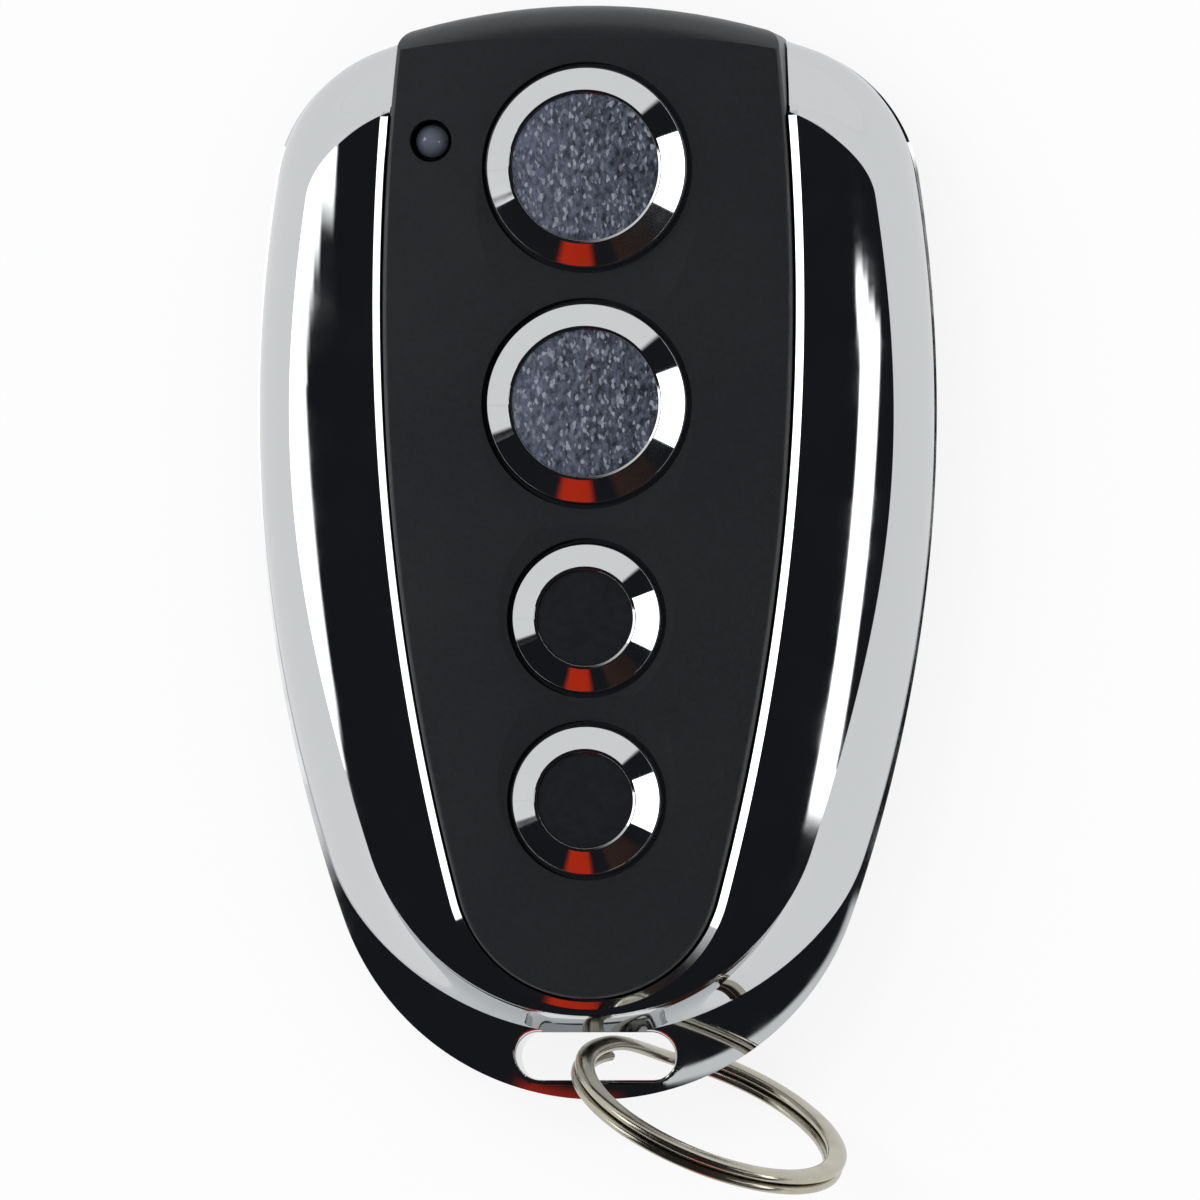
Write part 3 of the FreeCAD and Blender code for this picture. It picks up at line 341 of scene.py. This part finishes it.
flank_lines = list(zip(*[ring_at(oval(*outline), z) for outline, z in FLANK]))
rows = [[on_curve(line, FLANK_SHARES, step / FLANK_STEPS) for line in flank_lines]
        for step in range(FLANK_STEPS + 1)]
plated_frame = skin("plated_frame", rows, capped=True)

# The facets fall away from the brow, steeper and steeper, and are made to reach past the flank and trim it
FACET_SLOPE, FACET_CURL, EAVES, FACET_STEPS = 0.2, 0.035, 8.5, 48
rows = [ring_at(oval(*inset(BROW, -EAVES)), 0.0)]
for step in range(FACET_STEPS + 1):
    reach = EAVES * (1 - step / FACET_STEPS)
    z = BROW_Z - reach * (FACET_SLOPE + FACET_CURL * reach)
    rows.append(ring_at(oval(*inset(BROW, -reach)), z))
combine(plated_frame, skin("facets", rows, capped=True), "INTERSECT")

# The apron rises from the widest outline in a flat curve, and its rim tucks in below
RIM_TUCK = 1.3
APRON = ((0.0, WIDEST_Z), (1.65, 6.6), (4.6, 8.1))
APRON_SHARES, APRON_STEPS = (0.0, 0.38, 1.0), 16
apron_lines = list(zip(*[ring_at(oval(*inset(OUTLINE, depth)), z) for depth, z in APRON]))
rows = [[on_curve(line, APRON_SHARES, step / APRON_STEPS) for line in apron_lines]
        for step in range(APRON_STEPS + 1)]
rows.insert(0, ring_at(oval(*inset(OUTLINE, RIM_TUCK)), RIM_Z))
apron = skin("apron", rows, capped=True)

# The slot for the key ring goes right through the nose, and its upper rim is rounded over
SLOT_LENGTH, SLOT_WIDTH, SLOT_Y, SLOT_ROUND = 9.4, 2.8, -29.45, 0.25
SLOT_STEPS, ROUND_STEPS, SLOT_CLEAR = 32, 12, 6.0
BELOW_ALL, ABOVE_ALL, OVERHEAD = -2.0, 20.0, 40.0


def slot_outline(grow):
    """Points round the slot, grown by a distance."""
    radius = SLOT_WIDTH / 2
    reach = SLOT_LENGTH / 2 - radius
    points = []
    for centre, start in ((reach, -90), (-reach, 90)):
        for step in range(SLOT_STEPS + 1):
            angle = math.radians(start + 180 * step / SLOT_STEPS)
            points.append((centre + (radius + grow) * math.cos(angle),
                           SLOT_Y + (radius + grow) * math.sin(angle)))
    return points + points[:1]


def height_on(piece, x, y):
    """The height of a piece's top at a spot."""
    _, spot, _, _ = piece.ray_cast(Vector((x, y, OVERHEAD)), Vector((0, 0, -1)))
    return spot.z


rows = [ring_at(slot_outline(0.0), z) for z in (BELOW_ALL, ABOVE_ALL)]
combine(plated_frame, skin("slot", rows, capped=True))
rows = [ring_at(slot_outline(0.0), BELOW_ALL)]
for step in range(ROUND_STEPS + 1):
    angle = math.pi / 2 * step / ROUND_STEPS
    rows.append([Vector((x, y, height_on(apron, x, y) - SLOT_ROUND * (1 - math.sin(angle))))
                 for x, y in slot_outline(SLOT_ROUND * (1 - math.cos(angle)))])
rows.append([point + Vector((0, 0, SLOT_CLEAR)) for point in rows[-1]])
combine(apron, skin("slot", rows, capped=True))
combine(plated_frame, apron, "UNION")

# The opening for the tongue goes deeper beside the tongue's far end, and right through past the facets
SEAM, OPENING_COUNTS = 0.12, (30, 80, 16, 20)
OPENING_Z, RELIEF_Y, RELIEF_Z, NOTCH_Y, CUT_TOP_Z = 9.0, 24.0, 6.08, 28.2, 14.0
opening = oval(*inset(TONGUE, -SEAM), counts=OPENING_COUNTS)
rows = [ring_at(opening, OPENING_Z), ring_at(opening, CUT_TOP_Z)]
combine(plated_frame, skin("opening", rows, capped=True))
for name, from_y, from_z in (("side_relief", RELIEF_Y, RELIEF_Z), ("end_notch", NOTCH_Y, 0.0)):
    sides = [(x, y) for x, y in opening if y > from_y]
    sides += sides[:1]
    rows = [ring_at(sides, from_z), ring_at(sides, CUT_TOP_Z)]
    combine(plated_frame, skin(name, rows, capped=True))

# The casting is hollow from below, with a rim that turns in towards the cover and a thinner crease
WALL, BELLY_WALL, CREASE_WALL, LEDGE, ROOF_ROOM, CUT_PAST = 1.25, 1.3, 0.875, 2.9, 0.4, 0.01
BELLY_NOSE_Y, LEDGE_NOSE_Y = -26.9, -26.4
roof = (BROW[0] + ROOF_ROOM, BROW[1], BROW[2], CREASE[3] - 2 * WALL, *BROW[4:])
rows = [ring_at(oval(*inset(OUTLINE, LEDGE, LEDGE_NOSE_Y)), RIM_Z - CUT_PAST),
        ring_at(oval(*inset(OUTLINE, BELLY_WALL, BELLY_NOSE_Y)), WIDEST_Z),
        ring_at(oval(*inset(CREASE, WALL)), CREASE_Z - CREASE_WALL),
        ring_at(oval(*roof), BROW_Z - WALL)]
combine(plated_frame, skin("hollow", rows, capped=True))

# The bead is a ridge cast on the inner edge of the facets, with its slope outwards, and stops at their far
# tips. Its section gives the distance across it and the rise above the facet
BEAD_SECTION = [(0.005, -0.3), (0.005, 0.20), (0.03, 0.265), (0.06, 0.287), (0.49, 0.0), (0.50, -0.3),
                (0.005, -0.3)]
BEAD_WIDTH, BEAD_END_Y, BEAD_COUNTS = 0.5, 26.2, (60, 160, 12, 8)


def bead_row(distance, reach=None):
    """Points from tip to tip round the nose, at a distance across the bead."""
    outline = oval(*inset(TONGUE, -SEAM - distance), counts=BEAD_COUNTS)
    reach = reach or len([point for point in outline[:len(outline) // 2] if point[1] < BEAD_END_Y])
    right = outline[:reach]
    return [(-x, y) for x, y in reversed(right[1:])] + right


crest = bead_row(BEAD_WIDTH / 2)
foot = [height_on(plated_frame, x, y) for x, y in crest]
rows = []
for distance, rise in BEAD_SECTION:
    row = bead_row(distance, len(crest) // 2 + 1)
    rows.append([Vector((x, y, z + rise)) for (x, y), z in zip(row, foot)])
pick(plated_frame, skin("bead", rows, capped=True))
bpy.ops.object.join()
finish_piece(plated_frame, chrome, "housing", "chrome_plate", "chrome_frame", sharp=10)


# The tongue: one injection moulding in black ABS, with the fine satin of a spark-eroded mould. Its flange
# lies under the frame's facets, and the three cover screws hold it from below.
def grain(tree, place, size, strength, depth):
    """Noise whose grains are of a size in millimetres, and a bump of a depth from it."""
    noise = add(tree, "ShaderNodeTexNoise", Vector=place, Scale=METRE / size, Detail=3.0)
    bump = add(tree, "ShaderNodeBump", Height=noise.outputs[0], Strength=strength, Distance=depth / METRE)
    return noise, bump


def paint(node_name, material):
    """Gives a CAD node its finish."""
    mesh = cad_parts[node_name].data
    mesh.materials.clear()
    mesh.materials.append(material)


# Satin ABS: a soft dark sheen, a little shinier in patches that thumbs have rubbed. The real grains are
# under 0.1 mm and are drawn at 0.22 mm, so that they show
SATIN_GRAIN, RUBBED_SIZE = 0.22, 11.1
satin_abs, tree = new_material("satin_moulded_black_abs")
place = add(tree, "ShaderNodeTexCoord").outputs["Object"]
noise, bump = grain(tree, place, SATIN_GRAIN, strength=0.5, depth=0.02)
shade = add(tree, "ShaderNodeMix", {"data_type": "RGBA"}, in0=noise.outputs[0], in6=linear("#1A1B1E"),
            in7=linear("#282A2E"))
rubbed = add(tree, "ShaderNodeTexNoise", Vector=place, Scale=METRE / RUBBED_SIZE, Detail=3.0)
gloss = add(tree, "ShaderNodeMapRange", Value=rubbed.outputs[0], From_Min=0.3, From_Max=0.7, To_Min=0.34,
            To_Max=0.44)
surface = add(tree, "ShaderNodeBsdfPrincipled", Base_Color=shade.outputs[2], Roughness=gloss.outputs[0],
              IOR=1.53, Normal=bump.outputs[0])
add(tree, "ShaderNodeOutputMaterial", in0=surface.outputs[0])
paint("front_panel", satin_abs)


# The four caps: ABS mouldings with bright chrome plating, each with a straight rim, a conical bevel and a
# thin lip round the seat of its inlay. A flange inside the tongue keeps the cap in its well, and a stem
# stands on the switch. The section goes from the seat's middle over the lip and down inside.
BUTTONS = ((22.5, 5.9), (8.7, 5.9), (-3.85, 4.4), (-14.5, 4.4))
SEAT_Z, LIP_Z, LIP_CHAMFER_Z, BEVEL_FOOT_Z, CAP_RIM_Z = 13.25, 13.95, 13.862, 13.05, 12.85
CEILING_Z, FLANGE_Z, FLANGE_FOOT_Z, STEM_FOOT_Z = 12.35, 10.85, 10.25, 9.4
BEVEL_WIDTH, BEVEL_EDGE, LIP_WIDTH, LIP_TOP = 1.4, 0.1, 0.18, 0.03
FLANGE_WIDTH, CAP_WALL, STEM_RADIUS, PLATED_EDGE = 0.6, 0.9, 1.7, 0.045
CIRCLE_STEPS = 144


def circle_at(radius, z, y):
    steps = [2 * math.pi * step / CIRCLE_STEPS for step in range(CIRCLE_STEPS)] + [0.0]
    return [Vector((radius * math.cos(angle), y + radius * math.sin(angle), z)) for angle in steps]


def soften(piece, width, angle):
    """Rounds the edges of a piece that are sharper than an angle, as plating and drawing do."""
    pick(piece)
    modifier = piece.modifiers.new("edges", "BEVEL")
    modifier.width = width
    modifier.segments = 3
    modifier.limit_method = "ANGLE"
    modifier.angle_limit = math.radians(angle)
    modifier.use_clamp_overlap = True
    bpy.ops.object.modifier_apply(modifier=modifier.name)


for number, (y, radius) in enumerate(BUTTONS, start=1):
    lip, flange, inside = radius - BEVEL_WIDTH, radius + FLANGE_WIDTH, radius - CAP_WALL
    section = [(0, SEAT_Z), (lip - LIP_WIDTH, SEAT_Z), (lip - LIP_WIDTH, LIP_CHAMFER_Z),
               (lip - LIP_TOP, LIP_Z), (lip, LIP_Z), (radius - BEVEL_EDGE, BEVEL_FOOT_Z),
               (radius, CAP_RIM_Z), (radius, FLANGE_Z), (flange, FLANGE_Z), (flange, FLANGE_FOOT_Z),
               (inside, FLANGE_FOOT_Z), (inside, CEILING_Z), (STEM_RADIUS, CEILING_Z),
               (STEM_RADIUS, STEM_FOOT_Z), (0, STEM_FOOT_Z)]
    cap = skin("plated_cap_%d" % number, [circle_at(r, z, y) for r, z in section])
    soften(cap, PLATED_EDGE, angle=20)
    finish_piece(cap, chrome, "button_%d" % number, "chrome_plate", "button_%d_cap" % number, sharp=4)

# The large inlays: discs punched from sheet aluminium, sand-blasted and dyed blue-grey, and glued into the
# caps' seats. They look matt and cloudy, painted paler on the left as painted light, with painted glints on
# random grains. The real grains are about 0.1 mm, and are drawn at 0.15 to 0.3 mm, so that they show.
CLOUD_SIZE, GLINT_GRAIN_SIZE, INLAY_HALF, CLOUD_SQUASH = 0.3, 0.15, 4.3, 0.55
blasted, tree = new_material("blasted_blue_grey_metal")
place = add(tree, "ShaderNodeTexCoord").outputs["Object"]
stretched = add(tree, "ShaderNodeMapping", Vector=place, Scale=(1.0, CLOUD_SQUASH, 1.0)).outputs[0]
cloud = add(tree, "ShaderNodeTexNoise", Vector=stretched, Scale=METRE / CLOUD_SIZE, Detail=5.0,
            Roughness=0.75)
# Painted light: each disc's colour is painted paler on its left and darker on its right
side = add(tree, "ShaderNodeSeparateXYZ", in0=place)
side = add(tree, "ShaderNodeMapRange", Value=side.outputs[0], From_Min=-INLAY_HALF / METRE,
           From_Max=INLAY_HALF / METRE, To_Min=0.2, To_Max=-0.22)
tone = add(tree, "ShaderNodeMapRange", Value=cloud.outputs[0], From_Min=0.36, From_Max=0.64)
tone = add(tree, "ShaderNodeMath", {"operation": "ADD"}, in0=tone.outputs[0], in1=side.outputs[0])
base = add(tree, "ShaderNodeMix", {"data_type": "RGBA"}, in0=tone.outputs[0], in6=linear("#262A36"),
           in7=linear("#6E7689"))
# Painted glints: random grains are painted pale in the colour, whatever the light
glint_grain = add(tree, "ShaderNodeTexVoronoi", Vector=stretched, Scale=METRE / GLINT_GRAIN_SIZE)
glint_grain = add(tree, "ShaderNodeSeparateColor", in0=glint_grain.outputs["Color"])
painted_glint = add(tree, "ShaderNodeMapRange", Value=glint_grain.outputs[0], From_Min=0.78, From_Max=1.0, To_Min=0.0,
            To_Max=0.85)
shade = add(tree, "ShaderNodeMix", {"data_type": "RGBA"}, in0=painted_glint.outputs[0], in6=base.outputs[2],
            in7=linear("#B4BAC8"))
_, bump = grain(tree, place, size=0.2, strength=0.4, depth=0.03)
surface = add(tree, "ShaderNodeBsdfPrincipled", Base_Color=shade.outputs[2], Metallic=0.35, Roughness=0.5,
              Normal=bump.outputs[0])
add(tree, "ShaderNodeOutputMaterial", in0=surface.outputs[0])
for number in (1, 2):
    paint("button_%d_inlay" % number, blasted)

# The small inlays: the same punched discs, lacquered almost black before they are glued in. The lacquer
# fills the grain, so they look smoother and give a dull, wide gleam.
DARK_CLOUD_SIZE = 0.5
lacquered, tree = new_material("near_black_lacquered_metal")
place = add(tree, "ShaderNodeTexCoord").outputs["Object"]
cloud = add(tree, "ShaderNodeTexNoise", Vector=place, Scale=METRE / DARK_CLOUD_SIZE, Detail=4.0,
            Roughness=0.7)
shade = add(tree, "ShaderNodeMix", {"data_type": "RGBA"}, in0=cloud.outputs[0], in6=linear("#101114"),
            in7=linear("#26272C"))
_, bump = grain(tree, place, size=0.15, strength=0.3, depth=0.01)
surface = add(tree, "ShaderNodeBsdfPrincipled", Base_Color=shade.outputs[2], Roughness=0.32, IOR=1.5,
              Normal=bump.outputs[0])
add(tree, "ShaderNodeOutputMaterial", in0=surface.outputs[0])
for number in (3, 4):
    paint("button_%d_inlay" % number, lacquered)

# The status lamp: a lamp 1.9 mm across, cast in smoke-tinted clear epoxy, soldered to the board by its
# leads and seen end on in its hole. The cast epoxy is dark, smooth and glossy.
EPOXY_CLOUD_SIZE = 1.11
epoxy, tree = new_material("smoke_tinted_epoxy")
place = add(tree, "ShaderNodeTexCoord").outputs["Object"]
cloud = add(tree, "ShaderNodeTexNoise", Vector=place, Scale=METRE / EPOXY_CLOUD_SIZE, Detail=2.0)
shade = add(tree, "ShaderNodeMix", {"data_type": "RGBA"}, in0=cloud.outputs[0], in6=linear("#4A4F5C"),
            in7=linear("#666C7A"))
surface = add(tree, "ShaderNodeBsdfPrincipled", Base_Color=shade.outputs[2], Roughness=0.18, IOR=1.55,
              Coat_Weight=0.6, Coat_Roughness=0.05)
add(tree, "ShaderNodeOutputMaterial", in0=surface.outputs[0])
paint("status_lamp", epoxy)

# The split ring: spring steel wire, rolled flat with round edges and coiled into two turns that cross over
# at one place, and barrel plated in nickel. It hangs through the slot and rests on the table.
RING_RADIUS, WIRE_WIDTH, WIRE_HEIGHT, TURN_GAP, CROSSOVER = 8.5, 1.2, 0.62, 0.06, 40.0
WIRE_STEPS, WIRE_SQUARENESS, WIRE_EDGE, COIL_DEGREES, COIL_STEP = 24, 0.75, 0.06, 680, 2
RING_X, RING_Y, RING_TURN, RING_LEAN, RING_ENDS = 6.8, -32.85, -23.9, 18.4, 155
middle_radius = RING_RADIUS - WIRE_WIDTH / 2
pitch = WIRE_HEIGHT + TURN_GAP
rows = []
for degree in range(0, COIL_DEGREES + 1, COIL_STEP):
    climb = min(max((degree - (360 - CROSSOVER)) / CROSSOVER, 0.0), 1.0)
    z = pitch * (climb * climb * (3 - 2 * climb) - 0.5)
    angle = math.radians(degree)
    row = []
    for step in range(WIRE_STEPS + 1):
        spin = 2 * math.pi * (step % WIRE_STEPS) / WIRE_STEPS
        across = math.copysign(abs(math.cos(spin)) ** WIRE_SQUARENESS, math.cos(spin)) * WIRE_WIDTH / 2
        up = math.copysign(abs(math.sin(spin)) ** WIRE_SQUARENESS, math.sin(spin)) * WIRE_HEIGHT / 2
        radius = middle_radius + across
        row.append(Vector((radius * math.cos(angle), radius * math.sin(angle), z + up)))
    rows.append(row)
split_ring = skin("split_ring", rows, capped=True)
soften(split_ring, WIRE_EDGE, angle=60)
lean = Matrix.Rotation(math.radians(RING_TURN), 4, "Z")
lean = lean @ Matrix.Rotation(math.radians(RING_LEAN - 90), 4, "X")
split_ring.data.transform(lean @ Matrix.Rotation(math.radians(RING_ENDS), 4, "Z"))
low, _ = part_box("key_ring")
lowest = min(vertex.co.z for vertex in split_ring.data.vertices)
split_ring.data.transform(Matrix.Translation((RING_X, RING_Y, low.z * METRE - lowest)))

# Barrel-plated nickel: a warmer and softer mirror than chrome, with small dull patches from the tumbling
NICKEL_SMEAR_SIZE = 1.43
nickel, tree = new_material("barrel_plated_nickel")
place = add(tree, "ShaderNodeTexCoord").outputs["Object"]
smear = add(tree, "ShaderNodeTexNoise", Vector=place, Scale=METRE / NICKEL_SMEAR_SIZE, Detail=5.0,
            Roughness=0.6)
gloss = add(tree, "ShaderNodeMapRange", Value=smear.outputs[0], From_Min=0.35, From_Max=0.75, To_Min=0.17,
            To_Max=0.3)
shade = add(tree, "ShaderNodeMix", {"data_type": "RGBA"}, in0=smear.outputs[0], in6=linear("#BFBBAC"),
            in7=linear("#A9A596"))
_, bump = grain(tree, place, size=0.5, strength=0.2, depth=0.01)
surface = add(tree, "ShaderNodeBsdfPrincipled", Base_Color=shade.outputs[2], Metallic=1.0,
              Roughness=gloss.outputs[0], Normal=bump.outputs[0])
add(tree, "ShaderNodeOutputMaterial", in0=surface.outputs[0])
finish_piece(split_ring, nickel, "ring", "nickel_steel", "key_ring", sharp=40)


# The rear cover: a shallow pan, injection moulded in the same black ABS from a coarser mould, with a lip
# that stands inside the frame. Three screws hold it. The grain makes it look matt and greyer; its grains,
# really under 0.2 mm, are drawn at 0.35 mm, so that they show.
def moulding(name, dark, light, size, roughness, depth=0.01, strength=0.5):
    """A moulded or fired material with a fine grain of a size and depth in millimetres."""
    material, tree = new_material(name)
    place = add(tree, "ShaderNodeTexCoord").outputs["Object"]
    noise, bump = grain(tree, place, size, strength, depth)
    shade = add(tree, "ShaderNodeMix", {"data_type": "RGBA"}, in0=noise.outputs[0], in6=linear(dark),
                in7=linear(light))
    surface = add(tree, "ShaderNodeBsdfPrincipled", Base_Color=shade.outputs[2], Roughness=roughness,
                  IOR=1.53, Normal=bump.outputs[0])
    add(tree, "ShaderNodeOutputMaterial", in0=surface.outputs[0])
    return material


paint("rear_cover", moulding("coarse_moulded_black_abs", "#1A1B1E", "#292A2E", size=0.35, roughness=0.6,
                             depth=0.04, strength=0.8))


# The cover screws: three self-tapping steel screws, zinc plated and passivated black, driven from the rear
# through the cover and the board into the tongue's bosses. They look dark grey with a dull gleam.
def metal(name, dark, light, size, smooth, rough):
    """A plated or bare metal whose tone and roughness vary in patches of a size in millimetres."""
    material, tree = new_material(name)
    place = add(tree, "ShaderNodeTexCoord").outputs["Object"]
    noise, bump = grain(tree, place, size, strength=0.25, depth=0.01)
    shade = add(tree, "ShaderNodeMix", {"data_type": "RGBA"}, in0=noise.outputs[0], in6=linear(dark),
                in7=linear(light))
    gloss = add(tree, "ShaderNodeMapRange", Value=noise.outputs[0], From_Min=0.3, From_Max=0.7,
                To_Min=smooth, To_Max=rough)
    surface = add(tree, "ShaderNodeBsdfPrincipled", Base_Color=shade.outputs[2], Metallic=1.0,
                  Roughness=gloss.outputs[0], Normal=bump.outputs[0])
    add(tree, "ShaderNodeOutputMaterial", in0=surface.outputs[0])
    return material


black_zinc = metal("black_zinc_screw_steel", "#4A4B4E", "#6E7074", size=0.2, smooth=0.28, rough=0.42)
paint("cover_screws", black_zinc)

# The circuit board: glass-fibre laminate with etched copper under green solder mask, routed to shape and
# clamped by the cover screws. The mask is a glossy green with the weave just showing.
paint("circuit_board", moulding("green_solder_mask", "#14492B", "#1E6238", size=0.8, roughness=0.28))

# The tactile switches, one under each button: a moulded black base and plunger, a cover plate and a snap
# dome stamped from nickel-plated spring sheet, and tinned copper legs soldered to the board. The epoxy is
# a flat black, the sheet a warm clean metal, and the tin a soft silver.
black_epoxy = moulding("moulded_black_epoxy", "#18181A", "#242427", size=0.1, roughness=0.55)
tinned = metal("tinned_copper_leads", "#A9AAA6", "#CFD0CC", size=0.2, smooth=0.2, rough=0.35)
spring = metal("nickel_plated_spring_sheet", "#B6B4A8", "#CFCDC2", size=0.4, smooth=0.15, rough=0.3)
SWITCH_PARTS = (("base", black_epoxy), ("plate", spring), ("dome", spring), ("legs", tinned),
                ("plunger", black_epoxy))
for number in range(1, 5):
    for part, material in SWITCH_PARTS:
        paint("switch_%d_%s" % (number, part), material)

# The transmitter: an encoder chip, a transistor and chip resistors moulded in black epoxy, with tinned pins
# soldered to the board, as the lamp's leads are. The resonator sits in a dull nickel silver can, the
# trimmer and the chip capacitors are fired ceramic, tan and brown, and the aerial is a bare copper loop.
for name in ("encoder_chip", "rf_transistor", "chip_resistors"):
    paint(name, black_epoxy)
for name in ("encoder_pins", "transistor_pins", "lamp_leads"):
    paint(name, tinned)
nickel_silver = metal("nickel_silver_can", "#B0AEA0", "#C8C6BA", size=0.3, smooth=0.25, rough=0.4)
tan_ceramic = moulding("fired_tan_ceramic", "#9A7F58", "#B7996E", size=0.2, roughness=0.5)
brown_ceramic = moulding("fired_brown_ceramic", "#8E6F4B", "#A98760", size=0.1, roughness=0.5)
copper = metal("bare_rolled_copper", "#B56F41", "#C98455", size=0.5, smooth=0.3, rough=0.45)
paint("saw_resonator", nickel_silver)
paint("trimmer_capacitor", tan_ceramic)
paint("chip_capacitors", brown_ceramic)
paint("loop_antenna", copper)

# The supply: a coin cell in a bright nickel-plated steel can, held under the board by a sprung clip bent
# from nickel-plated sheet, with a tinned pad on the board as its other contact.
cell_can = metal("bright_nickel_plated_can", "#BDBEC0", "#D4D5D6", size=0.6, smooth=0.12, rough=0.25)
paint("coin_cell", cell_can)
paint("battery_clip", spring)
paint("battery_pad", tinned)
